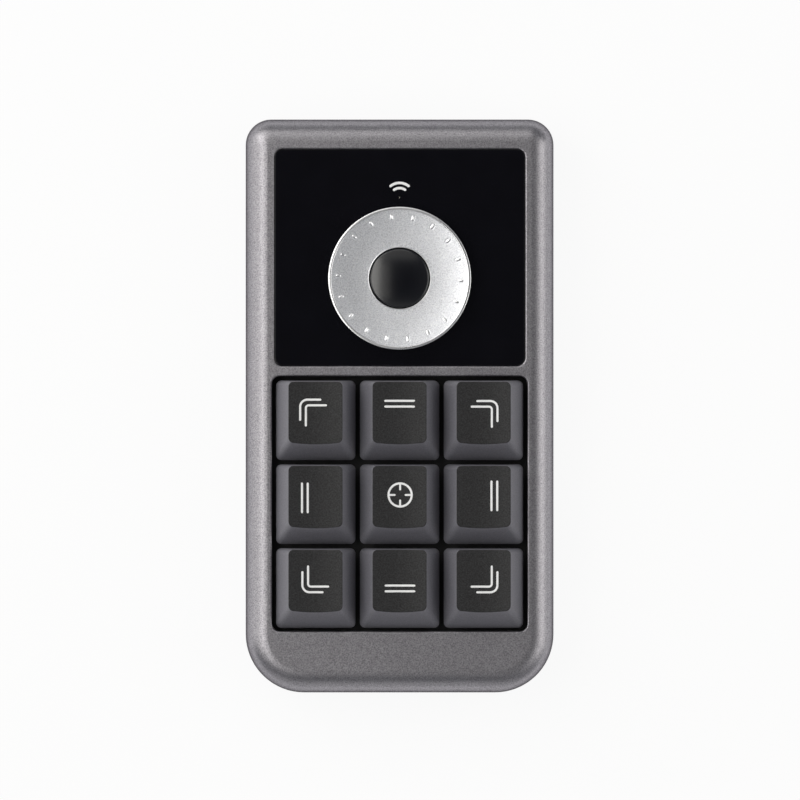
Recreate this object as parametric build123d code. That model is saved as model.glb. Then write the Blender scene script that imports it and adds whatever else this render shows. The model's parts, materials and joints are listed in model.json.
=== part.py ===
from build123d import *
import os

# Macro keypad with one push dial and a block of nine mechanical keys.
# Millimetres. X is across the keypad, Y runs from the user (front) to the rear edge, Z is up.
# The origin is on the table, under the middle of the housing.

# ---------------------------------------------------------------- driving dimensions
# Housing, seen from above
side_bezel = 5.975
rear_bezel = 6.8
crossbar = 2.35
chin = 13.95
rear_corner_radius = 5.8
front_corner_radius = 13.3
shoulder_radius = 5.0
base_edge_radius = 1.0
wall = 2.0

# Stack of heights, from the table up
foot_proud = 0.8
floor_thickness = 2.0
solder_room = 2.3
board_thickness = 1.6
plate_to_board = 5.0
plate_thickness = 1.5
well_depth = 7.7
parting_height = 5.5
parting_groove = 0.2
opening_edge_radius = 0.3
lip_height = 1.2
lip_thickness = 0.9

# Key block
key_pitch = 19.05
key_rows = 3
key_columns = 3
well_side_gap = 0.9
well_rear_gap = 1.0
well_front_gap = 0.75
well_corner_radius = 1.8
skirt_wall = 1.3
key_travel = 4.0

# Keycap
cap_base = 18.15
cap_base_radius = 1.2
cap_top_width = 12.3
cap_top_length = 13.8
cap_top_radius = 1.2
cap_height = 8.0
cap_rear_lean = 0.25
cap_wall = 1.0
cap_top_wall = 0.7
cap_room_corner = 0.8
cap_roof = 1.4
cap_dish_depth = 0.9
cap_bottom_gap = 1.0
boss_diameter = 5.5
socket_depth = 3.9

# Key switch, heights from the top of the key plate
switch_cutout = 14.0
switch_flange = 15.6
switch_flange_height = 1.0
switch_height = 6.6
stem_rise = 3.6
base_wall = 0.95
base_floor = 1.2
cover_wall = 0.7
cover_roof = 0.8
cover_corner = 0.8
cover_foot = 14.2
cover_top_width = 10.2
cover_top_length = 9.4
slider_width = 7.0
slider_length = 5.8
slider_foot = 2.0
slider_flange_height = 1.1
slider_flange_overlap = 0.7
cross_arm = 4.0
cross_thickness = 1.25
guide_pin_diameter = 2.3
guide_pin_end_gap = 0.5
post_diameter = 3.9
post_length = 3.1
post_floor = 0.8
pin_diameter = 1.1
pin_length = 3.0
pin_places = [(-3.81, 2.54), (2.54, 5.08)]
spring_diameter = 4.2
spring_inner_diameter = 3.3
spring_seat_depth = 2.8
spring_side_gap = 0.2

# Gloss panel and the deck that carries it
panel_side_bezel = 6.55
panel_length = 49.2
panel_corner_radius = 1.9
panel_thickness = 1.0
panel_sink = 0.3
deck_thickness = 1.6

# Dial, button and encoder
dial_diameter = 32.4
dial_bore = 13.9
dial_height = 3.4
dial_rim_width = 0.7
dial_dish_drop = 1.3
dial_dish_fullness = 0.32
dial_lip_round = 0.12
dial_setback = 29.35
dial_skirt_wall = 2.5
dial_roof = 0.8
tick_count = 18
tick_phase = 12.4
tick_inset = 2.3
tick_length = 1.35
tick_width = 0.5
tick_depth = 0.15
sleeve_outer = 18.6
sleeve_inner = 15.8
hub_flange = 1.0
button_diameter = 13.5
button_dome = 0.75
button_below_rim = 0.3
button_wall = 1.2
button_edge_round = 0.3
button_stalk = 5.0
button_flange_height = 0.8
button_side_gap = 0.3
button_travel = 0.5
encoder_size = 26.0
encoder_floor = 1.0
encoder_corner = 1.0
encoder_gap_to_deck = 0.4
rotor_outer = 21.4
tact_size = 6.0
tact_corner = 0.6
tact_height = 3.5
tact_plunger_diameter = 3.4
tact_plunger_rise = 1.0
tact_plunger_depth = 0.7
dial_board_drop = 4.4

# Boards and electronics
main_board_side_gap = 0.25
main_board_overhang = 2.8
main_board_front_overhang = 1.0
dial_board_width = 46.0
dial_board_front_gap = 8.0
dial_board_rear_gap = 0.65
dial_board_thickness = 1.2
board_corner = 1.5
battery_width = 40.0
battery_length = 34.0
battery_thickness = 5.0
battery_tape = 0.2
battery_corner = 2.0
battery_setback = 7.5
battery_pad_margin = 4.0
usb_width = 8.94
usb_height = 3.2
usb_depth = 7.35
usb_shell = 0.35
usb_back_wall = 1.2
usb_slot_gap = 0.2
usb_tongue_setback = 0.8
usb_mouth_setback = 0.55
usb_tongue_width = 6.6
usb_tongue_thickness = 0.7
power_switch_x = -13.0
power_switch_width = 8.6
power_switch_depth = 4.6
power_switch_height = 3.4
power_travel = 2.0
power_nub_width = 3.6
power_nub_height = 1.8
power_nub_setback = 0.3
power_nub_chamfer = 0.25
power_neck_width = 2.6
power_neck_height = 1.4
power_neck_depth = 1.8
power_scoop_depth = 0.7
power_scoop_margin = 1.3
light_pipe_diameter = 2.0
light_pipe_setback = 11.0
pipe_collar_diameter = 3.4
pipe_collar_height = 0.8
led_length = 1.6
led_width = 0.8
led_height = 0.7
light_pipe_gap = 0.3
radio_width = 13.0
radio_length = 9.0
radio_height = 2.0
radio_x = -13.5
radio_gap = 2.5
radio_corner = 0.6
connector_height = 1.3
connector_depth = 3.5
ribbon_width = 10.0
ribbon_thickness = 0.3
ribbon_x = -7.0
lead_wire_diameter = 0.7
lead_wire_gap = 1.8
lead_x = 6.0
lead_straight = 0.6
cell_socket_height = 1.7
cell_socket_margin = 0.6
ribbon_socket_margin = 1.0
ribbon_socket_inset = 0.4

# Fasteners and feet
screw_shank = 2.0
screw_head = 3.6
screw_head_height = 1.2
screw_slot = 0.5
screw_cross_share = 0.5
housing_screw_length = 9.0
plate_screw_bite = 3.5
board_screw_bite = 3.3
boss_outer = 5.0
housing_boss_outer = 6.0
housing_screw_seat = 1.6
side_boss_gap = 1.5
end_boss_gap = 1.2
board_side_gap = 0.7
front_boss_x = 12.0
board_screw_inset = 3.0
board_screw_rear_inset = 4.4
rear_foot_gap = 11.0
front_foot_gap = 2.0
plate_margin = 2.2
plate_corner = 1.5
tab_reach = 7.2
tab_width = 8.0
tab_screw_x = 20.0
tab_screw_offset = 4.4
foot_diameter = 9.0
foot_recess = 0.6
foot_chamfer = 0.3
board_post = 3.5
pilot_roof = 0.4
pilot_spare = 0.5
weld = 0.2

# Shares: how round a slot's ends are, against a full half circle of 0.5
stadium_share = 0.45

# Clearances
fit_clearance = 0.1
running_clearance = 0.05
slide_clearance = 0.15
screw_clearance = 0.2
thread_clearance = 0.02
board_hole_clearance = 0.2
dial_float = 0.35

# ---------------------------------------------------------------- heights worked out from the stack
floor_top = foot_proud + floor_thickness
board_bottom = floor_top + solder_room
board_top = board_bottom + board_thickness
plate_top = board_top + plate_to_board
plate_bottom = plate_top - plate_thickness
shell_top = plate_top + well_depth
panel_top = shell_top - panel_sink
deck_top = panel_top - panel_thickness
deck_bottom = deck_top - deck_thickness
cap_rim = plate_top + switch_flange_height + key_travel + cap_bottom_gap
cap_top = cap_rim + cap_height
switch_top = plate_top + switch_height
stem_top = switch_top + stem_rise
slider_top = stem_top - socket_depth + fit_clearance
guide_pin_low = board_top - post_length + post_floor + key_travel + guide_pin_end_gap

# ---------------------------------------------------------------- plan sizes worked out
well_width = (key_columns - 1) * key_pitch + cap_base + 2 * well_side_gap
well_length = (key_rows - 1) * key_pitch + cap_base + well_rear_gap + well_front_gap
body_width = well_width + 2 * side_bezel
body_length = rear_bezel + panel_length + crossbar + well_length + chin
panel_width = body_width - 2 * panel_side_bezel
main_board_width = well_width - 2 * main_board_side_gap
dial_recess_diameter = dial_diameter - 2 * dial_skirt_wall
tick_ring_radius = dial_diameter / 2 - tick_inset

# ---------------------------------------------------------------- places worked out, front to rear
rear_y = body_length / 2
front_y = -body_length / 2
panel_rear = rear_y - rear_bezel
panel_front = panel_rear - panel_length
panel_y = (panel_rear + panel_front) / 2
well_rear = panel_front - crossbar
well_front = well_rear - well_length
well_y = (well_rear + well_front) / 2
keys_y = well_y + (well_front_gap - well_rear_gap) / 2
dial_y = panel_rear - dial_setback
pipe_y = panel_rear - light_pipe_setback
rear_wall_inner = rear_y - wall

# Dial stack
ring_bottom = panel_top + dial_float
rim_top = panel_top + dial_height
dish_low = rim_top - dial_dish_drop
hub_top = dish_low - dial_roof
hub_bottom = hub_top - hub_flange
encoder_top = deck_bottom - encoder_gap_to_deck
dial_board_top = encoder_top - dial_board_drop
dial_board_bottom = dial_board_top - dial_board_thickness
rotor_bottom = dial_board_top + encoder_floor + fit_clearance
tact_top = dial_board_top + tact_height
plunger_top = tact_top + tact_plunger_rise
button_flange_top = hub_top - dial_float
button_flange_diameter = sleeve_inner - 2 * button_side_gap

# Boards
main_board_rear = well_rear + main_board_overhang
main_board_front = well_front - main_board_front_overhang
dial_board_front = well_rear + dial_board_front_gap
dial_board_rear = rear_wall_inner - dial_board_rear_gap

socket_front = dial_board_front + 0.5
battery_y = panel_rear - battery_setback - battery_length / 2
battery_front = battery_y - battery_length / 2

# Screw places
side_boss_x = body_width / 2 - wall - housing_boss_outer / 2 - side_boss_gap
rear_boss_y = rear_wall_inner - housing_boss_outer / 2 - end_boss_gap
middle_boss_y = main_board_rear + housing_boss_outer / 2 + board_side_gap
front_boss_y = front_y + wall + housing_boss_outer / 2 + end_boss_gap
housing_screw_places = [
    (side * x, y)
    for side in (-1, 1)
    for x, y in ((side_boss_x, rear_boss_y), (side_boss_x, middle_boss_y), (front_boss_x, front_boss_y))
]
plate_screw_places = [
    (side * tab_screw_x, y)
    for side in (-1, 1)
    for y in (well_front - tab_screw_offset, well_rear + tab_screw_offset)
]
board_screw_x = dial_board_width / 2 - board_screw_inset
board_screw_places = [
    (side * board_screw_x, y)
    for side in (-1, 1)
    for y in (dial_board_front + board_screw_inset, dial_board_rear - board_screw_rear_inset)
]
foot_x = body_width / 2 - wall - foot_diameter / 2 - side_boss_gap
foot_places = [
    (side * foot_x, y)
    for side in (-1, 1)
    for y in (rear_boss_y - rear_foot_gap, well_front + front_foot_gap)
]
key_names = [
    (f"r{row + 1}c{column + 1}",
     (column - (key_columns - 1) / 2) * key_pitch,
     keys_y - (row - (key_rows - 1) / 2) * key_pitch)
    for row in range(key_rows)
    for column in range(key_columns)
]


# ---------------------------------------------------------------- small helpers
def block(width, length, low, high, x=0.0, y=0.0):
    """A box given by its plan size, its bottom and top heights and its centre in plan."""
    return Pos(x, y, (low + high) / 2) * Box(width, length, high - low)


def drum(diameter, low, high, x=0.0, y=0.0):
    """An upright cylinder given by its bottom and top heights."""
    return Pos(x, y, (low + high) / 2) * Cylinder(diameter / 2, high - low)


def tube(outer, inner, low, high, x=0.0, y=0.0):
    """An upright pipe; the bore runs the whole height."""
    return drum(outer, low, high, x, y) - drum(inner, low, high, x, y)


def rounded_block(width, length, radius, low, high, x=0.0, y=0.0):
    """A box with rounded upright corners."""
    plan = Plane((x, y, low)) * RectangleRounded(width, length, radius)
    return extrude(plan, high - low)


def prism(plan, low, high):
    """Raises a plan sketch, drawn on the XY plane, between two heights."""
    return extrude(Pos(0, 0, low) * plan, high - low)


def tapered(low_size, low_radius, low, high_size, high_radius, high, high_shift=0.0):
    """A loft between two rounded rectangles, the upper one shifted along Y."""
    lower = Plane((0, 0, low)) * RectangleRounded(low_size[0], low_size[1], low_radius)
    upper = Plane((0, high_shift, high)) * RectangleRounded(high_size[0], high_size[1], high_radius)
    return loft([lower, upper], ruled=True)


def facing_rear(x, y, z):
    """A sketch plane that faces +Y, with the sketch's own X along the keypad's X."""
    return Plane(origin=(x, y, z), x_dir=(1, 0, 0), z_dir=(0, 1, 0))


def group(shapes):
    """Several separate solids kept together in one node."""
    return Compound([solid for shape in shapes for solid in shape.solids()])


def body_outline(inset=0.0):
    """Plan of the housing: small corners at the rear, large ones at the front."""
    plan = Rectangle(body_width - 2 * inset, body_length - 2 * inset)
    plan = fillet(plan.vertices().group_by(Axis.Y)[-1], rear_corner_radius - inset)
    return fillet(plan.vertices().group_by(Axis.Y)[0], front_corner_radius - inset)


def well_outline(grow=0.0):
    """Plan of the key well, or of the skirt round it when grown."""
    return Pos(0, well_y) * RectangleRounded(
        well_width + 2 * grow, well_length + 2 * grow, well_corner_radius + grow
    )


def screw(shank_length, head_low, head_high, x, y):
    """Pan-head screw, driven upwards: the head is at the lower end."""
    shank = drum(screw_shank - 2 * thread_clearance, head_high, head_high + shank_length, x, y)
    head = drum(screw_head, head_low, head_high, x, y)
    cross = screw_head * screw_cross_share
    recess = block(cross, screw_slot, head_low, head_low + screw_slot, x, y)
    recess += block(screw_slot, cross, head_low, head_low + screw_slot, x, y)
    return head + shank - recess


# ---------------------------------------------------------------- housing
def top_housing():
    """Upper shell: rounded shoulders, key well with its skirt, and the deck under the panel."""
    shell = prism(body_outline(), parting_height, shell_top)
    shell = fillet(shell.faces().sort_by(Axis.Z)[-1].edges(), shoulder_radius)
    shell = chamfer(shell.faces().sort_by(Axis.Z)[0].edges(), parting_groove)
    cavity = prism(body_outline(wall), parting_height, deck_bottom)
    cavity = fillet(cavity.faces().sort_by(Axis.Z)[-1].edges(), shoulder_radius - wall)
    shell -= cavity

    skirt = prism(well_outline(skirt_wall), plate_top, deck_top)
    shell += skirt
    shell -= prism(well_outline(), plate_top, shell_top)
    recess_width = panel_width + 2 * fit_clearance
    recess_length = panel_length + 2 * fit_clearance
    recess_radius = panel_corner_radius + fit_clearance
    shell -= rounded_block(recess_width, recess_length, recess_radius, deck_top, shell_top, 0, panel_y)
    top_face = shell.faces().sort_by(Axis.Z)[-1]
    rims = [edge for wire in top_face.inner_wires() for edge in wire.edges()]
    shell = fillet(rims, opening_edge_radius)
    hub_hole = sleeve_outer + 2 * (slide_clearance + dial_float)
    shell -= drum(hub_hole, deck_bottom, deck_top, 0, dial_y)
    shell -= drum(light_pipe_diameter + 2 * fit_clearance, deck_bottom, deck_top, 0, pipe_y)

    lip_room = body_outline(wall - lip_thickness - fit_clearance) - body_outline(wall)
    shell -= prism(lip_room, parting_height, parting_height + lip_height + fit_clearance)
    for place in housing_screw_places:
        shell += boss(housing_boss_outer, parting_height, housing_screw_bite(), place)
    for place in plate_screw_places:
        shell += boss(boss_outer, plate_top, plate_screw_bite + pilot_spare, place)
    for place in board_screw_places:
        shell += boss(boss_outer, dial_board_top, board_screw_bite + pilot_spare, place)
    shell -= usb_opening()
    shell -= power_opening()
    return shell


def boss(outer, low, bite, place):
    """Round screw boss that hangs from the deck, with a blind pilot hole."""
    x, y = place
    pilot_top = min(low + bite, deck_bottom - pilot_roof)
    return drum(outer, low, deck_bottom + weld, x, y) - drum(screw_shank, low, pilot_top, x, y)


def housing_screw_bite():
    """Depth of the housing screws' pilot holes above the parting line."""
    return housing_screw_length - housing_screw_seat + pilot_spare


def housing_screw_recess():
    """Depth of the counterbore under the floor, which leaves the seat for the head."""
    return parting_height - foot_proud - housing_screw_seat


def usb_opening():
    """Rounded slot through the rear wall for the charging socket."""
    height = usb_height + 2 * usb_slot_gap
    slot = Rectangle(usb_width + 2 * usb_slot_gap, height)
    slot = fillet(slot.vertices(), height * stadium_share)
    level = dial_board_bottom - usb_height / 2
    return extrude(facing_rear(0, rear_wall_inner - wall / 2, level) * slot, 2 * wall)


def power_opening():
    """Slot for the power slider, with a shallow scoop round it for a fingertip."""
    level = dial_board_bottom - power_switch_height / 2
    slot_width = power_nub_width + power_travel + 2 * slide_clearance
    slot_height = power_nub_height + 2 * slide_clearance
    centre_x = power_switch_x
    slot = Pos(centre_x, rear_y - wall / 2, level) * Box(slot_width, 2 * wall, slot_height)
    scoop_width = slot_width + 2 * power_scoop_margin
    scoop_height = slot_height + power_scoop_margin
    scoop = Pos(centre_x, rear_y, level) * Box(scoop_width, 2 * power_scoop_depth, scoop_height)
    scoop = fillet(scoop.edges().filter_by(Axis.Y), scoop_height * stadium_share)
    return slot + scoop


def bottom_housing():
    """Lower tray: floor, low walls with a lip, screw posts, board posts and foot recesses."""
    tray = prism(body_outline(), foot_proud, parting_height)
    tray = fillet(tray.faces().sort_by(Axis.Z)[0].edges(), base_edge_radius)
    tray = chamfer(tray.faces().sort_by(Axis.Z)[-1].edges(), parting_groove)
    tray -= prism(body_outline(wall), floor_top, parting_height)
    tray += prism(body_outline(wall - lip_thickness) - body_outline(wall),
                  parting_height - weld, parting_height + lip_height)
    for x, y in housing_screw_places:
        tray += drum(housing_boss_outer, floor_top - weld, parting_height, x, y)
        tray -= drum(screw_shank + 2 * screw_clearance, foot_proud, parting_height, x, y)
        head_room = screw_head + 4 * screw_clearance
        tray -= drum(head_room, foot_proud, foot_proud + housing_screw_recess(), x, y)
    for x, y in board_post_places():
        tray += drum(board_post, floor_top - weld, board_bottom, x, y)
    for x, y in foot_places:
        tray -= drum(foot_diameter + 2 * fit_clearance, foot_proud, foot_proud + foot_recess, x, y)
    return tray


def board_post_places():
    """Posts under the main board, between the switches."""
    half = key_pitch / 2
    return [(x, keys_y + y) for x in (-half, half) for y in (-half, half)]


def rubber_feet():
    """Four round pads pressed into the recesses of the floor."""
    pads = []
    for x, y in foot_places:
        pad = drum(foot_diameter, 0, foot_proud + foot_recess, x, y)
        pads.append(chamfer(pad.faces().sort_by(Axis.Z)[0].edges(), foot_chamfer))
    return group(pads)


def housing_screws():
    """Six screws that hold the two shells together."""
    seat = foot_proud + housing_screw_recess()
    return group(
        [screw(housing_screw_length, seat - screw_head_height, seat, x, y)
         for x, y in housing_screw_places]
    )


# ---------------------------------------------------------------- key block
def key_plate():
    """Steel plate that the switches clip into, with four tabs screwed to the top shell."""
    plate = rounded_block(well_width + 2 * plate_margin, well_length + 2 * plate_margin, plate_corner,
                          plate_bottom, plate_top, 0, well_y)
    for x, y in plate_screw_places:
        inward = 1 if y < well_y else -1
        edge = well_front if y < well_y else well_rear
        middle = edge - inward * tab_reach / 2
        plate += rounded_block(tab_width, tab_reach, plate_corner, plate_bottom, plate_top, x, middle)
        plate -= drum(screw_shank + 2 * screw_clearance, plate_bottom, plate_top, x, y)
    for _, x, y in key_names:
        plate -= block(switch_cutout, switch_cutout, plate_bottom, plate_top, x, y)
    return plate


def plate_screws():
    """Four screws up through the plate's tabs."""
    return group(
        [screw(plate_thickness + plate_screw_bite, plate_bottom - screw_head_height, plate_bottom, x, y)
         for x, y in plate_screw_places]
    )


def main_board():
    """Circuit board under the switches, drilled for their posts and pins."""
    length = main_board_rear - main_board_front
    middle = (main_board_rear + main_board_front) / 2
    board = rounded_block(main_board_width, length, board_corner, board_bottom, board_top, 0, middle)
    for _, x, y in key_names:
        board -= drum(post_diameter + board_hole_clearance, board_bottom, board_top, x, y)
        for pin_x, pin_y in pin_places:
            hole = pin_diameter + 2 * board_hole_clearance
            board -= drum(hole, board_bottom, board_top, x + pin_x, y + pin_y)
    return board


def switch_base():
    """Lower half of one switch: box, flange on the plate, round post through the board."""
    body = switch_cutout - 2 * running_clearance
    base = block(body, body, board_top, plate_top)
    base += block(switch_flange, switch_flange, plate_top, plate_top + switch_flange_height)
    inside = body - 2 * base_wall
    base -= block(inside, inside, board_top + base_floor, plate_top + switch_flange_height)
    base += drum(post_diameter, board_top - post_length, board_top + base_floor)
    bore = guide_pin_diameter + 2 * slide_clearance
    base -= drum(bore, board_top - post_length + post_floor, board_top + base_floor)
    return base


def switch_cover():
    """Upper half of one switch: a tapered box with a window for the stem."""
    foot = plate_top + switch_flange_height
    cover = tapered((cover_foot, cover_foot), cover_corner, foot,
                    (cover_top_width, cover_top_length), cover_corner, switch_top)
    room_foot = cover_foot - 2 * cover_wall
    room_width = cover_top_width - 2 * cover_wall
    room_length = cover_top_length - 2 * cover_wall
    room_top = switch_top - cover_roof
    room_corner = cover_corner / 2
    room = tapered((room_foot, room_foot), room_corner, foot,
                   (room_width, room_length), room_corner, room_top)
    window = block(slider_width + 2 * slide_clearance, slider_length + 2 * slide_clearance,
                   room_top - weld, switch_top)
    return cover - room - window


def switch_pins():
    """Two contact pins of one switch, soldered into the board."""
    return [drum(pin_diameter, board_top - pin_length, board_top, x, y) for x, y in pin_places]


def switch_stem():
    """Moving stem: cross on top, slider block with a stop flange, guide pin and spring seat."""
    foot = plate_top + slider_foot
    stem = block(slider_width, slider_length, foot, slider_top)
    stop = switch_top - cover_roof - fit_clearance
    stem += block(slider_width + 2 * slider_flange_overlap, slider_length + 2 * slider_flange_overlap,
                  stop - slider_flange_height, stop)
    stem += block(cross_arm, cross_thickness, slider_top, stem_top)
    stem += block(cross_thickness, cross_arm, slider_top, stem_top)
    seat = spring_diameter + 2 * spring_side_gap
    stem -= drum(seat, foot, foot + spring_seat_depth)
    stem += drum(guide_pin_diameter, guide_pin_low, foot + spring_seat_depth)
    return stem


def switch_spring():
    """Return spring, drawn as the sleeve that its coils fill."""
    return tube(spring_diameter, spring_inner_diameter,
                board_top + base_floor, plate_top + slider_foot + spring_seat_depth)


def keycap():
    """Hollow cap: square foot, top face set back to the rear edge, dished along Y."""
    shift = (cap_base - cap_top_length) / 2 - cap_rear_lean
    cap = tapered((cap_base, cap_base), cap_base_radius, cap_rim,
                  (cap_top_width, cap_top_length), cap_top_radius, cap_top, shift)
    half = cap_top_width / 2
    dish_radius = (half * half + cap_dish_depth * cap_dish_depth) / (2 * cap_dish_depth)
    dish = Pos(0, shift, cap_top + dish_radius - cap_dish_depth) * (
        Rot(90, 0, 0) * Cylinder(dish_radius, cap_base * 2)
    )
    cap -= dish
    roof = cap_top - cap_dish_depth - cap_roof
    room_base = cap_base - 2 * cap_wall
    room_width = cap_top_width - 2 * cap_top_wall
    room_length = cap_top_length - 2 * cap_top_wall
    room = tapered((room_base, room_base), cap_room_corner, cap_rim,
                   (room_width, room_length), cap_room_corner, roof, shift)
    cap -= room
    cap += drum(boss_diameter, slider_top, roof + weld)
    socket_arm = cross_arm + 2 * running_clearance
    socket_slot = cross_thickness + 2 * running_clearance
    cap -= block(socket_arm, socket_slot, slider_top, stem_top + fit_clearance)
    cap -= block(socket_slot, socket_arm, slider_top, stem_top + fit_clearance)
    return cap


# ---------------------------------------------------------------- panel, dial and encoder
def gloss_panel():
    """Flat gloss panel bonded to the deck, with a hole for the dial's sleeve."""
    panel = rounded_block(panel_width, panel_length, panel_corner_radius, deck_top, panel_top, 0, panel_y)
    hole = sleeve_outer + 2 * (slide_clearance + dial_float)
    return panel - drum(hole, deck_top, panel_top, 0, dial_y)


def dial_ring():
    """Turned metal ring: dished top, rounded rim, ticks, and a recess below for the hub."""
    outer = dial_diameter / 2
    inner = dial_bore / 2
    round_over = dial_rim_width / 2
    rim_low = rim_top - round_over
    rim_inner = outer - dial_rim_width
    lip = inner + 2 * dial_lip_round
    middle = (rim_inner + lip) / 2
    sag = dish_low + (rim_low - dish_low) * dial_dish_fullness
    recess = dial_recess_diameter / 2
    with BuildPart() as ring:
        with BuildSketch(Plane.XZ):
            with BuildLine():
                Line((inner, hub_top), (inner, dish_low))
                ThreePointArc((inner, dish_low), (inner + dial_lip_round, dish_low + dial_lip_round),
                              (lip, dish_low))
                ThreePointArc((lip, dish_low), (middle, sag), (rim_inner, rim_low))
                ThreePointArc((rim_inner, rim_low), (outer - round_over, rim_top), (outer, rim_low))
                Line((outer, rim_low), (outer, ring_bottom))
                Line((outer, ring_bottom), (recess, ring_bottom))
                Line((recess, ring_bottom), (recess, hub_top))
                Line((recess, hub_top), (inner, hub_top))
            make_face()
        revolve(axis=Axis.Z)
    body = Pos(0, dial_y, 0) * ring.part
    for index in range(tick_count):
        body -= tick(tick_phase + index * 360.0 / tick_count)
    return body


def dish_height(radius):
    """Height of the dished top at one radius, taken on the straight line from lip to rim."""
    inner = dial_bore / 2
    outer = dial_diameter / 2
    rise = rim_top - dial_rim_width / 2 - dish_low
    return dish_low + rise * (radius - inner) / (outer - inner)


def tick(angle):
    """Cutter for one shallow tick mark, a slot along the ring's radius."""
    low = dish_height(tick_ring_radius) - tick_depth
    slot = block(tick_width, tick_length, low, rim_top, 0, tick_ring_radius)
    slot = fillet(slot.edges().filter_by(Axis.Z), tick_width * stadium_share)
    return Pos(0, dial_y, 0) * (Rot(0, 0, -angle) * slot)


def dial_hub():
    """Plastic hub: a flange bonded under the ring and a sleeve down to the rotor."""
    flange = dial_recess_diameter - 2 * fit_clearance
    hub = drum(flange, hub_bottom, hub_top, 0, dial_y)
    hub += drum(sleeve_outer, rotor_bottom + fit_clearance, hub_bottom, 0, dial_y)
    return hub - drum(sleeve_inner, rotor_bottom, hub_top, 0, dial_y)


def dial_button():
    """Domed button with a trapped flange and a stalk down to the tactile switch."""
    radius = button_diameter / 2
    crown = rim_top - button_below_rim
    shoulder = crown - button_dome
    ceiling = shoulder - button_wall
    room = radius - button_wall
    flange = button_flange_diameter / 2
    flange_low = button_flange_top - button_flange_height
    stalk = button_stalk / 2
    dome = (radius * radius + button_dome * button_dome) / (2 * button_dome)
    half_rise = crown - dome + (dome * dome - radius * radius / 4) ** 0.5
    with BuildPart() as button:
        with BuildSketch(Plane.XZ):
            with BuildLine():
                Polyline((0, crown), (0, plunger_top), (stalk, plunger_top), (stalk, ceiling),
                         (room, ceiling), (room, flange_low), (flange, flange_low),
                         (flange, button_flange_top), (radius, button_flange_top), (radius, shoulder))
                ThreePointArc((radius, shoulder), (radius / 2, half_rise), (0, crown))
            make_face()
        revolve(axis=Axis.Z)
    return Pos(0, dial_y, 0) * fillet_edge_at(button.part, shoulder, button_edge_round)


def fillet_edge_at(solid, height, radius):
    """Rounds the circular edge that lies at one height."""
    rings = [edge for edge in solid.edges().filter_by(GeomType.CIRCLE)
             if abs(edge.center().Z - height) < 1e-4]
    return fillet(rings, radius)


def encoder_body():
    """Square housing of the hollow-shaft encoder, soldered to the dial board."""
    body = rounded_block(encoder_size, encoder_size, encoder_corner, dial_board_top, encoder_top, 0, dial_y)
    pocket = rotor_outer + 2 * running_clearance
    body -= drum(pocket, dial_board_top + encoder_floor, encoder_top, 0, dial_y)
    return body - drum(sleeve_inner, dial_board_top, encoder_top, 0, dial_y)


def encoder_rotor():
    """Rotor ring of the encoder, pressed on the hub's sleeve."""
    rotor = drum(rotor_outer, rotor_bottom, encoder_top - fit_clearance, 0, dial_y)
    bore = sleeve_outer + 2 * running_clearance
    rotor -= drum(bore, rotor_bottom + fit_clearance, encoder_top, 0, dial_y)
    return rotor - drum(sleeve_inner, rotor_bottom, encoder_top, 0, dial_y)


def tact_switch_body():
    """Tactile switch in the middle of the encoder."""
    body = rounded_block(tact_size, tact_size, tact_corner, dial_board_top, tact_top, 0, dial_y)
    well = tact_plunger_diameter + 2 * fit_clearance
    well_floor = tact_top - tact_plunger_depth - button_travel - fit_clearance
    return body - drum(well, well_floor, tact_top, 0, dial_y)


def tact_switch_plunger():
    """Round plunger of the tactile switch."""
    return drum(tact_plunger_diameter, tact_top - tact_plunger_depth, plunger_top, 0, dial_y)


# ---------------------------------------------------------------- electronics
def dial_board():
    """Circuit board for the encoder, the socket, the power switch and the radio."""
    length = dial_board_rear - dial_board_front
    middle = (dial_board_rear + dial_board_front) / 2
    board = rounded_block(dial_board_width, length, board_corner,
                          dial_board_bottom, dial_board_top, 0, middle)
    for x, y in board_screw_places:
        board -= drum(screw_shank + 2 * screw_clearance, dial_board_bottom, dial_board_top, x, y)
    return board


def board_screws():
    """Four screws that hang the dial board from the deck's bosses."""
    return group(
        [screw(dial_board_thickness + board_screw_bite, dial_board_bottom - screw_head_height,
               dial_board_bottom, x, y)
         for x, y in board_screw_places]
    )


def battery():
    """Flat rechargeable pouch cell, bonded to the floor."""
    low = floor_top + battery_tape
    return rounded_block(battery_width, battery_length, battery_corner,
                         low, low + battery_thickness, 0, battery_y)


def battery_pad():
    """Thin adhesive pad under the cell."""
    pad_width = battery_width - 2 * battery_pad_margin
    pad_length = battery_length - 2 * battery_pad_margin
    return block(pad_width, pad_length, floor_top, floor_top + battery_tape, 0, battery_y)


def battery_lead():
    """Two wires from the cell's front edge, bent back up to the socket on the dial board."""
    low = floor_top + battery_tape + battery_thickness / 2
    high = dial_board_bottom - cell_socket_height / 2
    bend = (high - low) / 2
    turn = min(battery_front, socket_front) - lead_straight
    wires = []
    for side in (-0.5, 0.5):
        x = lead_x + side * lead_wire_gap
        with BuildPart() as wire:
            with BuildLine() as route:
                Line((x, battery_front, low), (x, turn, low))
                ThreePointArc((x, turn, low), (x, turn - bend, low + bend), (x, turn, high))
                Line((x, turn, high), (x, socket_front, high))
            with BuildSketch(Plane(route.line @ 0, z_dir=route.line % 0)):
                Circle(lead_wire_diameter / 2)
            sweep()
        wires.append(wire.part)
    return group(wires)


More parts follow.
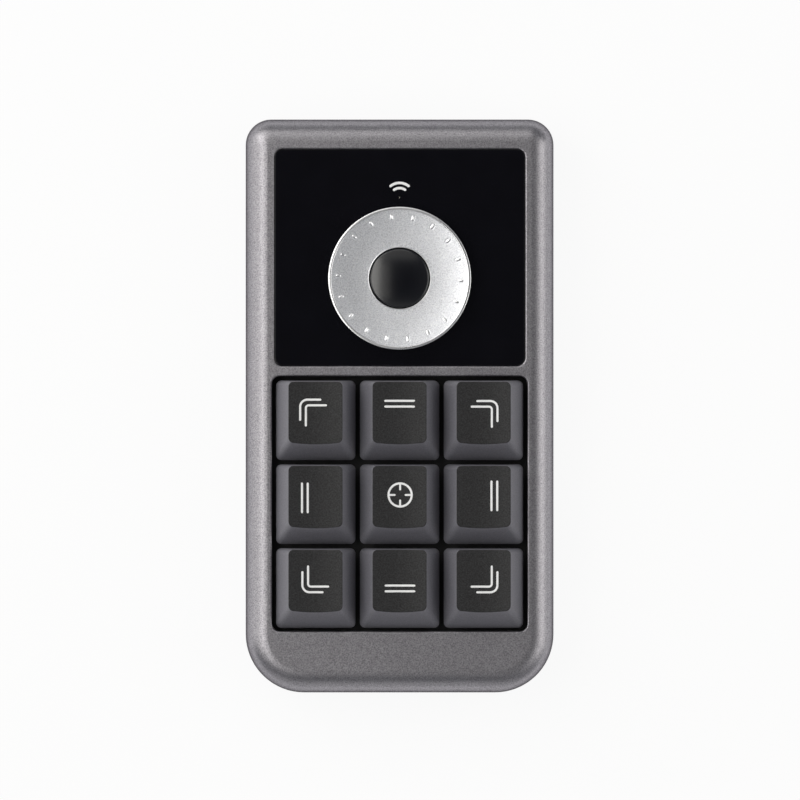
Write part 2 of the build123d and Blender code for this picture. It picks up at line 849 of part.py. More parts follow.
def board_connectors():
    """Ribbon sockets on both boards and the cell's socket."""
    ribbon_socket = ribbon_width + 2 * ribbon_socket_margin
    cell_socket = lead_wire_gap + lead_wire_diameter + 2 * cell_socket_margin
    upper_y = socket_front + connector_depth / 2
    lower_y = main_board_rear - ribbon_socket_inset - connector_depth / 2
    lower = block(ribbon_socket, connector_depth, board_top, board_top + connector_height,
                  ribbon_x, lower_y)
    upper = block(ribbon_socket, connector_depth, dial_board_bottom - connector_height,
                  dial_board_bottom, ribbon_x, upper_y)
    cell = block(cell_socket, connector_depth, dial_board_bottom - cell_socket_height,
                 dial_board_bottom, lead_x, upper_y)
    return group([lower, upper, cell])


def board_ribbon():
    """Flat ribbon that rises from the main board to the dial board."""
    half = ribbon_thickness / 2
    low = board_top + connector_height / 2
    high = dial_board_bottom - connector_height / 2
    start = main_board_rear - ribbon_socket_inset
    end = socket_front
    rise = (end - start) / 5
    edge = [
        (start, low - half), (start + rise, low - half), (end - rise, high - half), (end, high - half),
        (end, high + half), (end - rise - half, high + half), (start + rise - half, low + half),
        (start, low + half),
    ]
    with BuildPart() as ribbon:
        with BuildSketch(Plane.YZ.offset(ribbon_x - ribbon_width / 2)):
            with BuildLine():
                Polyline(*edge, close=True)
            make_face()
        extrude(amount=ribbon_width)
    return ribbon.part


def usb_socket():
    """Charging socket: a stadium-shaped shell with a tongue, under the dial board."""
    level = dial_board_bottom - usb_height / 2
    mouth = rear_y - usb_mouth_setback
    back = mouth - usb_depth
    face = facing_rear(0, back, level)
    outside = Rectangle(usb_width, usb_height)
    outside = fillet(outside.vertices(), usb_height * stadium_share)
    inner_height = usb_height - 2 * usb_shell
    inside = Rectangle(usb_width - 2 * usb_shell, inner_height)
    inside = fillet(inside.vertices(), inner_height * stadium_share)
    socket = extrude(face * outside, usb_depth)
    inner_face = facing_rear(0, back + usb_back_wall, level)
    socket -= extrude(inner_face * inside, usb_depth)
    tongue = Rectangle(usb_tongue_width, usb_tongue_thickness)
    return socket + extrude(inner_face * tongue, usb_depth - usb_back_wall - usb_tongue_setback)


def power_switch_body():
    """Slide switch under the dial board, with a slot for its slider."""
    rear = dial_board_rear
    low = dial_board_bottom - power_switch_height
    level = (low + dial_board_bottom) / 2
    body = block(power_switch_width, power_switch_depth, low, dial_board_bottom,
                 power_switch_x, rear - power_switch_depth / 2)
    slot_width = power_neck_width + power_travel + 2 * slide_clearance
    slot_height = power_neck_height + 2 * slide_clearance
    slot_depth = power_neck_depth + slide_clearance
    slot = Pos(power_switch_x, rear - slot_depth / 2, level) * Box(slot_width, slot_depth, slot_height)
    return body - slot


def power_slider():
    """Slider of the power switch, drawn at its off end; it moves along +X."""
    level = dial_board_bottom - power_switch_height / 2
    x = power_switch_x - power_travel / 2
    rear = dial_board_rear
    outside = rear_y - power_nub_setback
    nub_back = rear + slide_clearance
    neck_back = rear - power_neck_depth
    neck = Pos(x, (neck_back + nub_back) / 2, level) * Box(
        power_neck_width, nub_back - neck_back, power_neck_height
    )
    nub = Pos(x, (nub_back + outside) / 2, level) * Box(
        power_nub_width, outside - nub_back, power_nub_height
    )
    nub = chamfer(nub.faces().sort_by(Axis.Y)[-1].edges(), power_nub_chamfer)
    return neck + nub


def status_led():
    """Small status lamp on the dial board."""
    return block(led_length, led_width, dial_board_top, dial_board_top + led_height, 0, pipe_y)


def light_pipe():
    """Clear rod from the lamp up to the underside of the panel, with a collar under the deck."""
    low = dial_board_top + led_height + light_pipe_gap
    rod = drum(light_pipe_diameter, low, deck_top, 0, pipe_y)
    return rod + drum(pipe_collar_diameter, deck_bottom - pipe_collar_height, deck_bottom, 0, pipe_y)


def radio_module():
    """Shielded radio module on the dial board."""
    middle = dial_y + encoder_size / 2 + radio_gap + radio_length / 2
    return rounded_block(radio_width, radio_length, radio_corner,
                         dial_board_top, dial_board_top + radio_height, radio_x, middle)


# ---------------------------------------------------------------- write every node
def all_nodes():
    """Every node's name and shape."""
    nodes = {
        "top_housing": top_housing(),
        "bottom_housing": bottom_housing(),
        "rubber_feet": rubber_feet(),
        "housing_screws": housing_screws(),
        "gloss_panel": gloss_panel(),
        "key_plate": key_plate(),
        "plate_screws": plate_screws(),
        "main_board": main_board(),
        "dial_ring": dial_ring(),
        "dial_hub": dial_hub(),
        "dial_button": dial_button(),
        "encoder_body": encoder_body(),
        "encoder_rotor": encoder_rotor(),
        "tact_switch_body": tact_switch_body(),
        "tact_switch_plunger": tact_switch_plunger(),
        "dial_board": dial_board(),
        "board_screws": board_screws(),
        "battery": battery(),
        "battery_pad": battery_pad(),
        "battery_lead": battery_lead(),
        "board_connectors": board_connectors(),
        "board_ribbon": board_ribbon(),
        "usb_socket": usb_socket(),
        "power_switch_body": power_switch_body(),
        "power_slider": power_slider(),
        "status_led": status_led(),
        "light_pipe": light_pipe(),
        "radio_module": radio_module(),
    }
    base = switch_base()
    cover = switch_cover()
    pins = switch_pins()
    stem = switch_stem()
    spring = switch_spring()
    cap = keycap()
    places = [Pos(x, y, 0) for _, x, y in key_names]
    nodes["switch_bases"] = group([place * base for place in places])
    nodes["switch_covers"] = group([place * cover for place in places])
    nodes["switch_pins"] = group([place * pin for place in places for pin in pins])
    for (name, _, _), place in zip(key_names, places):
        nodes[f"switch_stem_{name}"] = place * stem
        nodes[f"switch_spring_{name}"] = place * spring
        nodes[f"keycap_{name}"] = place * cap
    return nodes


os.makedirs("parts", exist_ok=True)
for node, shape in all_nodes().items():
    export_step(shape, f"parts/{node}.step")
print(f"dial axis at y = {dial_y:.2f}, key block centre at y = {keys_y:.2f}")
print(f"shell top {shell_top:.2f}, cap top {cap_top:.2f}, dial rim {rim_top:.2f}")
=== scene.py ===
# %% [markdown]
# # A macro keypad with a push dial
#
# The real object is a painted housing with nine mechanical keys in a sunken well and, above them, a
# gloss black panel with a dished silver dial and a black push button in its middle. The engineering
# model already holds every piece at its real place. This lesson gives the pieces their finish, and
# remakes the ones whose shape carries the look: caps, dial, button, panel, marks and springs.
# Everything is worked out in millimetres and put into the mesh in metres.

# %% Load the engineering model, the frame that everything is built around
import json

import bmesh
import bpy
import numpy as np
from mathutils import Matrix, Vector


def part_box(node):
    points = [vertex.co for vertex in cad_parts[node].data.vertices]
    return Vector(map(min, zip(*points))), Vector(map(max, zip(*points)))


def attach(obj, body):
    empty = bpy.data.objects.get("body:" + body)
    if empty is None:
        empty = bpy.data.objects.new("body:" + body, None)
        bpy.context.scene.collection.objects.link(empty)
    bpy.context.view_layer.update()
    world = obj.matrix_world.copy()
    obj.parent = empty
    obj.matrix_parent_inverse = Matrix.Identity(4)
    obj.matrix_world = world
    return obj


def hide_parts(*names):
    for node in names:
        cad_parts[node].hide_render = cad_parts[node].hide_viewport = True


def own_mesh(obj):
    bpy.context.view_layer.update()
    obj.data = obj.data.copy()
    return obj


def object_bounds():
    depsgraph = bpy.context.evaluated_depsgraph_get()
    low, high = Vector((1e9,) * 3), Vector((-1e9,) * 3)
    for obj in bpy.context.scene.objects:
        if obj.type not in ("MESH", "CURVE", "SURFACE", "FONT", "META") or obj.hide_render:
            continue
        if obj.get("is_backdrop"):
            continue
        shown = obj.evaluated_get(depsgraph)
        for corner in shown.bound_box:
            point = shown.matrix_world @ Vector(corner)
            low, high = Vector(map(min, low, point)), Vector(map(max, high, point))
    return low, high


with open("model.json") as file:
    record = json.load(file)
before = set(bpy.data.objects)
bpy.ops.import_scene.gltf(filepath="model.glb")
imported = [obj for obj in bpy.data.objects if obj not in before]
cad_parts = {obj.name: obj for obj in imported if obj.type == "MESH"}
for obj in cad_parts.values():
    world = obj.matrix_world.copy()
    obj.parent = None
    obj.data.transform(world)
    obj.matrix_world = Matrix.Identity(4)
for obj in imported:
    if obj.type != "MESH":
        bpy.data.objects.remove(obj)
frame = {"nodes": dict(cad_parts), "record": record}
nodes = frame["nodes"]
cad_low, cad_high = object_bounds()
MM = 0.001


def box_mm(node):
    """Lowest and highest corner of a node of the engineering model, in millimetres."""
    return tuple(np.array(corner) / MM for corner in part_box(node))


def middle_mm(node):
    """Middle of a node's box, in millimetres."""
    low, high = box_mm(node)
    return (low + high) / 2


# %% [markdown]
# ## The camera
#
# The keypad is seen from straight above with a long lens, as on a product page. A long lens from a
# metre away keeps the sides of the caps nearly free of perspective. The alternative, a camera with
# no perspective at all, would lose the slight spread of the cap sides, so a real lens is used. Its
# distance follows from the lens and from how many millimetres one picture pixel covers.

# %% Camera
image_px = 800
pixel_mm = 0.2271
housing_middle_px = (399.6, 406.0)
lens_mm, sensor_mm = 600.0, 36.0
farthest_m = 10.0

shell_low, shell_high = box_mm("top_housing")
shell_top = shell_high[2]
camera_height = shell_top + image_px * pixel_mm * lens_mm / sensor_mm
camera_x = (image_px / 2 - housing_middle_px[0]) * pixel_mm
camera_y = (housing_middle_px[1] - image_px / 2) * pixel_mm

camera = bpy.data.objects.new("camera", bpy.data.cameras.new("camera"))
camera.data.lens, camera.data.sensor_width = lens_mm, sensor_mm
camera.data.clip_end = farthest_m
camera.location = Vector((camera_x, camera_y, camera_height)) * MM
bpy.context.scene.collection.objects.link(camera)
bpy.context.scene.camera = camera
bpy.context.scene.view_settings.view_transform = "Standard"
print(f"camera {camera_height:.0f} mm up, looking straight down")

# %% [markdown]
# ## Light
#
# The housing shows one wide soft band along its left shoulder, a narrower one on the right, and
# next to none at the front. So the strongest soft boxes stand on the left and high up, weaker ones
# on the right and at the rear, and faint ones at the front. A single large lamp would light both
# shoulders alike. The boxes stand at one distance all round the keypad, each in a place given by
# two angles.

# %% Lamps
lamp_distance = 0.75
lamp_tint = (1.0, 0.985, 0.945)


def soft_box(name, tilt, turn, size, level):
    """A rectangular lamp that faces the keypad, `size` metres wide and high.

    It stands `tilt` degrees away from straight overhead and `turn` degrees round from the right.
    level is how bright its face looks: a face of area A has to give out pi * A * level watts."""
    tilt, turn = np.radians(tilt), np.radians(turn)
    direction = np.sin(tilt) * np.cos(turn), np.sin(tilt) * np.sin(turn), np.cos(tilt)
    place = Vector(direction) * lamp_distance
    lamp = bpy.data.objects.new(name, bpy.data.lights.new(name, "AREA"))
    lamp.data.shape = "RECTANGLE"
    lamp.data.size, lamp.data.size_y = size
    lamp.data.color = lamp_tint
    lamp.data.energy = np.pi * size[0] * size[1] * level
    lamp.location = place
    lamp.rotation_euler = place.to_track_quat("Z", "Y").to_euler()
    lamp.visible_camera = False
    bpy.context.scene.collection.objects.link(lamp)


soft_boxes = [  # name, tilt, turn, size, level
    ("near_left_box", 13, 180, (0.40, 0.12), 0.55),
    ("overhead_box", 25, 178, (0.60, 0.20), 2.8),
    ("overhead_rear_box", 24, 90, (0.40, 0.14), 0.45),
    ("overhead_front_box", 24, 270, (0.40, 0.14), 0.25),
    ("left_box", 44, 172, (0.80, 0.30), 1.2),
    ("low_left_box", 68, 165, (0.80, 0.30), 1.1),
    ("left_horizon_box", 84, 168, (0.90, 0.12), 0.9),
    ("left_rear_box", 56, 134, (0.40, 0.44), 1.8),
    ("right_box", 42, 0, (0.60, 0.22), 1.0),
    ("middle_right_box", 58, -2, (0.60, 0.22), 1.8),
    ("low_right_box", 74, -5, (0.70, 0.22), 0.9),
    ("rear_box", 46, 94, (0.46, 0.40), 0.9),
    ("right_front_box", 50, 320, (0.40, 0.40), 0.25),
    ("low_front_box", 74, 262, (0.80, 0.26), 0.45),
]
for box in soft_boxes:
    soft_box(*box)
print(f"{len(soft_boxes)} soft boxes, {lamp_distance} m away")

# %% [markdown]
# ### The room
#
# The room is what the surfaces mirror between the lamps. It is pale at the horizon and dark
# overhead: a gloss panel seen from above mirrors only what is overhead, and it has to stay black.
# An even grey room would turn it grey. So the brightness follows the height of the view direction.

# %% Room
horizon_colour = (0.21, 0.215, 0.23, 1.0)
overhead_colour = (0.045, 0.046, 0.052, 1.0)
room_levels = ((0.5, 0.19), (0.9, 0.14), (0.985, 0.06))
red_share, blue_share = 0.97, 1.06


def room_light():
    """A room whose brightness falls from the horizon to straight overhead.

    Each of room_levels is a height, from 0 at the horizon to 1 overhead, and the level there."""
    world = bpy.data.worlds.new("room")
    world.use_nodes = True
    tree = world.node_tree
    direction = tree.nodes.new("ShaderNodeTexCoord").outputs["Generated"]
    split = tree.nodes.new("ShaderNodeSeparateXYZ")
    ramp = tree.nodes.new("ShaderNodeValToRGB")
    tree.links.new(direction, split.inputs[0])
    tree.links.new(split.outputs["Z"], ramp.inputs["Fac"])
    tree.links.new(ramp.outputs["Color"], tree.nodes["Background"].inputs["Color"])
    ramp.color_ramp.elements[0].position, ramp.color_ramp.elements[1].position = 0.0, 1.0
    ramp.color_ramp.elements[0].color = horizon_colour
    ramp.color_ramp.elements[1].color = overhead_colour
    for height, level in room_levels:
        colour = (level * red_share, level, level * blue_share, 1.0)
        ramp.color_ramp.elements.new(height).color = colour
    bpy.context.scene.world = world


room_light()
print("a room that darkens overhead")

# %% [markdown]
# ## How a surface becomes a mesh
#
# Every new piece is a grid of points worked out by a formula: rows run along a profile and columns
# run round it. The columns always close on themselves. The rows either close too, as on a ring, or
# shrink to a point at each end, as on a button. One function turns any number of such grids into
# one mesh, welds the points that coincide and makes the faces look outwards.

# %% From grids to a mesh
weld_m = 0.1e-6
sharp_angle = 40.0


def grid_faces(rows, columns, closed):
    """Four corner numbers for each face of a grid numbered row by row, joined round its columns."""
    row = np.arange(rows if closed else rows - 1)[:, None]
    column = np.arange(columns)[None, :]
    next_row, next_column = (row + 1) % rows, (column + 1) % columns
    corners = (row * columns + column, row * columns + next_column,
               next_row * columns + next_column, next_row * columns + column)
    return np.stack(np.broadcast_arrays(*corners), axis=-1).reshape(-1, 4)


def faces_outward(points, faces):
    """The same faces, turned round if the volume they enclose comes out negative.

    The volume is the sum over triangles of a . (b x c) / 6, with the corners as vectors."""
    a, b, c, d = (points[faces[:, corner]] for corner in range(4))
    volume = (a * (np.cross(b, c) + np.cross(c, d))).sum() / 6
    return faces if volume > 0 else faces[:, ::-1]


def make_piece(name, skins, body, slot, stands_for=(), finish=None):
    """One object from (grid in millimetres, do its rows close) pairs, riding on a body.

    Its finish comes from the table of finishes that is filled further down, under the name of its
    slot, unless another name is given."""
    points, faces, count = [], [], 0
    for grid, closed in skins:
        rows, columns = grid.shape[:2]
        flat = grid.reshape(-1, 3)
        quads = grid_faces(rows, columns, closed)
        points.append(flat)
        faces.append(faces_outward(flat - flat.mean(axis=0), quads) + count)
        count += len(flat)
    mesh = bpy.data.meshes.new(name)
    mesh.from_pydata(np.concatenate(points) * MM, [], np.concatenate(faces))
    work = bmesh.new()
    work.from_mesh(mesh)
    bmesh.ops.remove_doubles(work, verts=work.verts, dist=weld_m)
    work.to_mesh(mesh)
    work.free()
    mesh.shade_smooth()
    mesh.set_sharp_from_angle(angle=np.radians(sharp_angle))
    mesh.materials.append(finishes[finish or slot])
    piece = bpy.data.objects.new(name, mesh)
    bpy.context.scene.collection.objects.link(piece)
    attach(piece, body)
    if stands_for:
        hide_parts(*stands_for)
    return piece


def moved(skins, x, y):
    """The same skins, moved across the plan."""
    return [(grid + [x, y, 0.0], closed) for grid, closed in skins]


print("meshes are made from grids")

# %% [markdown]
# ## The formulas that pieces share
#
# Most profiles here are built from a few plain shapes: a circle, a rectangle with round corners and
# a bend between two faces. Each is a short function of its own, so the cells after it say only what
# is peculiar to their piece. All of them work on whole arrays of points at once.

# %% Shared formulas


def full_turn(count):
    """Evenly spaced angles once round, without the last that would repeat the first."""
    return np.linspace(0, 2 * np.pi, count, endpoint=False)


def on_circle(angle):
    """Plan points (cos a, sin a) on a circle of radius 1."""
    return np.stack([np.cos(angle), np.sin(angle)], axis=-1)


def rounded_rectangle(width, length, radius, arc=9, side=14):
    """Points round a rectangle with round corners, counter-clockwise.

    Each corner is its centre plus radius times (cos a, sin a) over a quarter turn, and each side
    is a straight run of points to the next corner."""
    half = np.array([width, length]) / 2
    quarter = on_circle(np.radians(90 * np.arange(4)[:, None] + np.linspace(0, 90, arc)))
    quadrant = np.array([[1, 1], [-1, 1], [-1, -1], [1, -1]])[:, None]
    corners = quadrant * (half - radius) + radius * quarter
    start, end = corners[:, -1:], np.roll(corners, -1, axis=0)[:, :1]
    sides = start + (end - start) * (np.arange(1, side + 1) / (side + 1))[:, None]
    return np.concatenate([corners, sides], axis=1).reshape(-1, 2)


def bend(start, corner, end, steps=6):
    """Rows of points that round off a corner: a quadratic Bezier curve from start to end.

    (1 - t)^2 start + 2 t (1 - t) corner + t^2 end."""
    t = np.linspace(0, 1, steps)[:, None, None]
    return (1 - t) ** 2 * start + 2 * t * (1 - t) * corner + t ** 2 * end


def at_height(outline, z):
    """Plan points with one height, or one height each, added as the third coordinate."""
    height = np.broadcast_to(np.asarray(z, float)[..., None], (*outline.shape[:-1], 1))
    return np.concatenate([outline, height], axis=-1)


def carried_round(radius, height, angle, middle):
    """A section carried round an upright axis: one row per radius, one column per angle."""
    x, y = middle[0] + radius * np.cos(angle), middle[1] + radius * np.sin(angle)
    return np.stack([x, y, np.broadcast_to(height, x.shape)], axis=-1)


print("shared formulas ready")

# %% [markdown]
# ## Finishes
#
# All finishes are procedural. One maker does what they share: fine noise at the size of the real
# grain drives the colour, the roughness and a shallow bump, and a broad noise lets the roughness
# drift as on a handled surface. Each finish then states its own colour, grain and depth. The noise
# reads Object coordinates, so the grain stays on the piece when the piece moves.

# %% The maker of finishes
finishes = {}
drift_grain = 14.0
noise_low, noise_high = 0.3, 0.7
bevel_samples = 6


def feed(tree, socket, value):
    """Links a socket to another one, or sets it to a constant."""
    if isinstance(value, bpy.types.NodeSocket):
        tree.links.new(value, socket)
    else:
        socket.default_value = value


def add_node(tree, kind, **inputs):
    """A new shader node with its inputs fed; an underscore stands for a space."""
    node = tree.nodes.new(kind)
    for name, value in inputs.items():
        feed(tree, node.inputs[name.replace("_", " ")], value)
    return node


def shade(colour, level):
    """A colour with all its parts scaled, and full cover as its fourth number."""
    return (*(part * level for part in colour), 1.0)


def blend_colour(tree, share, low, high):
    """A colour between two others, by a share from 0 to 1."""
    mix = tree.nodes.new("ShaderNodeMix")
    mix.data_type = "RGBA"
    tree.links.new(share, mix.inputs["Factor"])
    for socket, colour in zip([s for s in mix.inputs if s.type == "RGBA"], (low, high)):
        feed(tree, socket, colour)
    return next(s for s in mix.outputs if s.type == "RGBA")


def object_noise(tree, scale, detail):
    """Noise that stays on the piece, `scale` cells to the metre, as a number about 0.5."""
    place = tree.nodes.new("ShaderNodeTexCoord").outputs["Object"]
    noise = add_node(tree, "ShaderNodeTexNoise", Vector=place, Scale=scale, Detail=detail)
    return noise.outputs[0]


def grained(slot, colour, roughness, grain, depth=0.004, speckle=0.12, drift=0.06, **shader):
    """A finish whose grain is `grain` mm across and `depth` mm high.

    colour runs from colour * (1 - speckle) to colour * (1 + speckle) with the fine noise, and
    roughness runs over +-drift with the broad noise. Nearly all noise lies between noise_low and
    noise_high. shader holds constants for the shader."""
    material = bpy.data.materials.new(slot)
    material.use_nodes = True
    tree = material.node_tree
    fine = object_noise(tree, 1 / (grain * MM), 2.0)
    broad = object_noise(tree, 1 / (drift_grain * MM), 3.0)
    spread = add_node(tree, "ShaderNodeMapRange", Value=fine, From_Min=noise_low,
                      From_Max=noise_high)
    tint = blend_colour(tree, spread.outputs[0], shade(colour, 1 - speckle),
                        shade(colour, 1 + speckle))
    drifted = add_node(tree, "ShaderNodeMapRange", Value=broad, From_Min=noise_low,
                       From_Max=noise_high, To_Min=roughness - drift, To_Max=roughness + drift)
    bump = add_node(tree, "ShaderNodeBump", Height=fine, Distance=depth * MM, Strength=1.0)
    surface = tree.nodes["Principled BSDF"]
    tree.links.new(tint, surface.inputs["Base Color"])
    tree.links.new(drifted.outputs[0], surface.inputs["Roughness"])
    tree.links.new(bump.outputs[0], surface.inputs["Normal"])
    for name, value in shader.items():
        surface.inputs[name.replace("_", " ")].default_value = value
    finishes[slot] = material
    return material


def soften_edges(material, radius):
    """Lets the shading of sharp edges run round over a radius in mm, as thick paint does."""
    tree = material.node_tree
    bump = next(node for node in tree.nodes if node.type == "BUMP")
    rounded = add_node(tree, "ShaderNodeBevel", Radius=radius * MM)
    rounded.samples = bevel_samples
    tree.links.new(rounded.outputs[0], bump.inputs["Normal"])


print("finishes are made by grained()")

# %% [markdown]
# ### Housing paint
#
# The housing wears a fine metallic paint: grey with aluminium flakes, satin, with a broad sheen on
# its shoulders. A metal shader with a middle roughness gives the sheen, and noise a quarter of a
# millimetre across gives the flakes. A separate layer of real flakes would cost more and show less
# at this size. The paint also rounds off the edges of the openings, which a shading bevel shows.

# %% Housing finishes
paint_edge = 0.3

paint = grained("housing_paint", (0.362, 0.350, 0.373), 0.39, grain=0.25, depth=0.007, speckle=0.36,
                drift=0.012, Metallic=1.0, Specular_Tint=(0.05, 0.05, 0.05, 1.0))
soften_edges(paint, paint_edge)
grained("base_shell", (0.020, 0.020, 0.022), 0.55, grain=0.25, depth=0.012, speckle=0.2)
grained("foot_rubber", (0.018, 0.018, 0.019), 0.8, grain=0.18, depth=0.010, speckle=0.25)
grained("screw_steel", (0.10, 0.10, 0.105), 0.38, grain=0.2, depth=0.004, Metallic=1.0)
print(f"{len(finishes)} finishes so far")

# %% [markdown]
# ### Panel, dial and button
#
# The panel is clear over black, so it is nearly a mirror with a deep black under it. The dial is
# blasted aluminium: fine even grain, no turning lines. Its rim, its inner lip and its pips are cut
# bright after the blasting, so they have a smoother metal. The button is polished black plastic.

# %% Panel, dial and button finishes
grained("gloss_panel", (0.0030, 0.0029, 0.0045), 0.05, grain=6.0, depth=0.0, speckle=0.1,
        drift=0.015)
grained("dial_metal", (0.85, 0.86, 0.895), 0.44, grain=0.26, depth=0.019, speckle=0.23,
        drift=0.02, Metallic=1.0)
grained("button_gloss", (0.0018, 0.002, 0.0042), 0.18, grain=3.0, depth=0.0, speckle=0.1,
        drift=0.02, Specular_IOR_Level=0.85)
grained("dial_edge", (0.95, 0.95, 0.96), 0.28, grain=1.5, depth=0.0, speckle=0.03,
        drift=0.02, Metallic=1.0)
print(f"{len(finishes)} finishes so far")

# %% [markdown]
# ### Caps and marks
#
# The caps are moulded black with an even fine texture that catches light as tiny specks. Their tops
# are duller than their sides. The sides carry a colour far lighter than the black tops: painted
# light, standing for the light the sides catch. Two materials with a border would show a hard line
# on the rounded edge, so one finish changes with the way the surface looks. The marks are printed
# white ink, a hair above the cap, so they have a finish of their own.

# %% Cap finishes
upward_from, upward_to = 0.65, 0.93
top_grain = 0.3
top_noise_low, top_noise_high = 0.32, 0.68
top_dark, top_light = 0.1, 1.9


def dark_top_painted_lit_sides(material, colour, roughness):
    """Gives a finish a black colour and another roughness where the surface looks upwards.
    The sides keep the finish's own, far lighter colour: painted light for the light they catch.

    The share runs smoothly from 0 to 1 while the upward part of the normal goes from upward_from
    to upward_to. The top's colour runs from colour * top_dark to colour * top_light."""
    tree = material.node_tree
    surface = tree.nodes["Principled BSDF"]
    normal = tree.nodes.new("ShaderNodeTexCoord").outputs["Normal"]
    upward = add_node(tree, "ShaderNodeSeparateXYZ", Vector=normal).outputs["Z"]
    share = add_node(tree, "ShaderNodeMapRange", Value=upward, From_Min=upward_from,
                     From_Max=upward_to)
    share.interpolation_type = "SMOOTHSTEP"
    fine = object_noise(tree, 1 / (top_grain * MM), 2.0)
    spread = add_node(tree, "ShaderNodeMapRange", Value=fine, From_Min=top_noise_low,
                      From_Max=top_noise_high)
    top = blend_colour(tree, spread.outputs[0], shade(colour, top_dark), shade(colour, top_light))
    base, rough = surface.inputs["Base Color"], surface.inputs["Roughness"]
    painted_lit_side_colour, side_roughness = (socket.links[0].from_socket for socket in (base, rough))
    tree.links.new(blend_colour(tree, share.outputs[0], painted_lit_side_colour, top), base)
    mixed = add_node(tree, "ShaderNodeMapRange", Value=share.outputs[0], To_Min=side_roughness,
                     To_Max=roughness)
    tree.links.new(mixed.outputs[0], rough)


# The colour below is painted light on the cap sides: far lighter than the black tops, for the light
# the sides catch.
cap_plastic_painted_lit_sides = grained("keycap", (0.192, 0.189, 0.214), 0.50, grain=0.28, depth=0.016,
                      speckle=0.16)
dark_top_painted_lit_sides(cap_plastic_painted_lit_sides, (0.0122, 0.0118, 0.0128), 0.6)
grained("mark_ink", (0.94, 0.94, 0.94), 0.5, grain=0.2, depth=0.002, speckle=0.03)
print(f"{len(finishes)} finishes so far")

# %% [markdown]
# ### Inner pieces
#
# What a keypad holds inside is seen only when it is opened, or as slivers between the caps, but
# each still gets the finish of its own material: stamped steel, solder mask, foil, smoked plastic.

# %% Inner finishes
grained("plate_steel", (0.012, 0.012, 0.013), 0.5, grain=0.3, depth=0.006)
grained("circuit_board", (0.010, 0.030, 0.018), 0.35, grain=1.4, depth=0.010, speckle=0.35)
grained("inner_plastic", (0.030, 0.030, 0.032), 0.5, grain=0.3)
grained("rotor_plastic", (0.50, 0.50, 0.47), 0.45, grain=0.3)
grained("bright_steel", (0.60, 0.60, 0.61), 0.30, grain=0.4, depth=0.003, Metallic=1.0)
grained("cell_foil", (0.62, 0.62, 0.64), 0.35, grain=2.2, depth=0.05, speckle=0.06, Metallic=1.0)
grained("adhesive_foam", (0.10, 0.10, 0.10), 0.9, grain=0.4, depth=0.05)
grained("wire_jacket", (0.40, 0.02, 0.02), 0.45, grain=0.3)
grained("connector_plastic", (0.62, 0.60, 0.52), 0.5, grain=0.3)
grained("ribbon_film", (0.45, 0.22, 0.05), 0.3, grain=0.8, speckle=0.2)
grained("slider_plastic", (0.018, 0.018, 0.020), 0.5, grain=0.25, depth=0.008)
grained("lamp_lens", (0.75, 0.75, 0.60), 0.2, grain=0.3)
grained("clear_acrylic", (0.85, 0.87, 0.87), 0.08, grain=2.0, depth=0.0, Transmission_Weight=0.9)
grained("switch_base", (0.018, 0.018, 0.018), 0.5, grain=0.3)
grained("switch_cover", (0.045, 0.045, 0.050), 0.25, grain=0.4)
grained("pin_brass", (0.62, 0.45, 0.20), 0.3, grain=0.2, Metallic=1.0)
grained("switch_stem", (0.28, 0.12, 0.05), 0.4, grain=0.3)
grained("spring_steel", (0.55, 0.55, 0.56), 0.28, grain=0.2, Metallic=1.0)
grained("contact_gold", (0.85, 0.62, 0.25), 0.25, grain=0.15, Metallic=1.0)

for part in frame["record"]["subparts"]:
    nodes[part["node"]].material_slots[0].material = finishes[part["material_slot"]]
print(f"{len(finishes)} finishes, every node dressed")

# %% [markdown]
# ## The gloss panel
#
# The panel is a thin plate with round corners and a hole for the dial's sleeve. A box with a hole
# cut in it would have razor edges that no polished plate has. Here every column of the grid runs
# from a point of the outline to the hole and back underneath, so the plate is one closed ring and
# its upper edge can be rounded.

# %% Gloss panel
panel_corner = 1.9
panel_edge = 0.18
sleeve_hole = 19.6


def plate_with_hole(low, high, corner, edge, hole_middle, hole):
    """A plate whose columns join its outline to a round hole.

    The hole's point of a column lies in the direction of its outline point, seen from the middle
    of the hole. The upper outer edge is a Bezier bend of the given size, and a ring of points one
    more edge further in keeps the flat top flat in its shading."""
    size, middle = (high - low)[:2], (low + high)[:2] / 2
    outer, inset, flat = (rounded_rectangle(*(size - 2 * step), corner - step) + middle
                          for step in (0, edge, 2 * edge))
    reach = outer - hole_middle
    rim = hole_middle + reach / np.linalg.norm(reach, axis=-1, keepdims=True) * hole / 2
    edge_rows = bend(at_height(outer, high[2] - edge), at_height(outer, high[2]),
                     at_height(inset, high[2]))
    rows = [at_height(rim, low[2])[None], at_height(outer, low[2])[None], edge_rows,
            at_height(flat, high[2])[None], at_height(rim, high[2])[None]]
    return np.concatenate(rows)


dial_middle = middle_mm("dial_ring")
panel_low, panel_high = box_mm("gloss_panel")
panel = plate_with_hole(panel_low, panel_high, panel_corner, panel_edge, dial_middle[:2],
                        sleeve_hole)
make_piece("panel_glass", [(panel, True)], "housing", "gloss_panel", ["gloss_panel"])
print(f"panel {panel_high[0] - panel_low[0]:.1f} x {panel_high[1] - panel_low[1]:.1f} mm")

# %% [markdown]
# ## Printed strokes
#
# The marks on the caps and the wireless mark on the panel are strokes of even width with round
# ends. A flat ribbon would flicker against the surface under it, so a stroke is a flattened tube,
# half sunk in: its width follows a half circle at each end, and its height follows the surface.

# %% Strokes
stroke_sides = 12


def flat_at(height):
    """A flat surface to lay strokes on: the same height for all plan points."""
    return lambda plan: np.full(plan.shape[:-1], height)


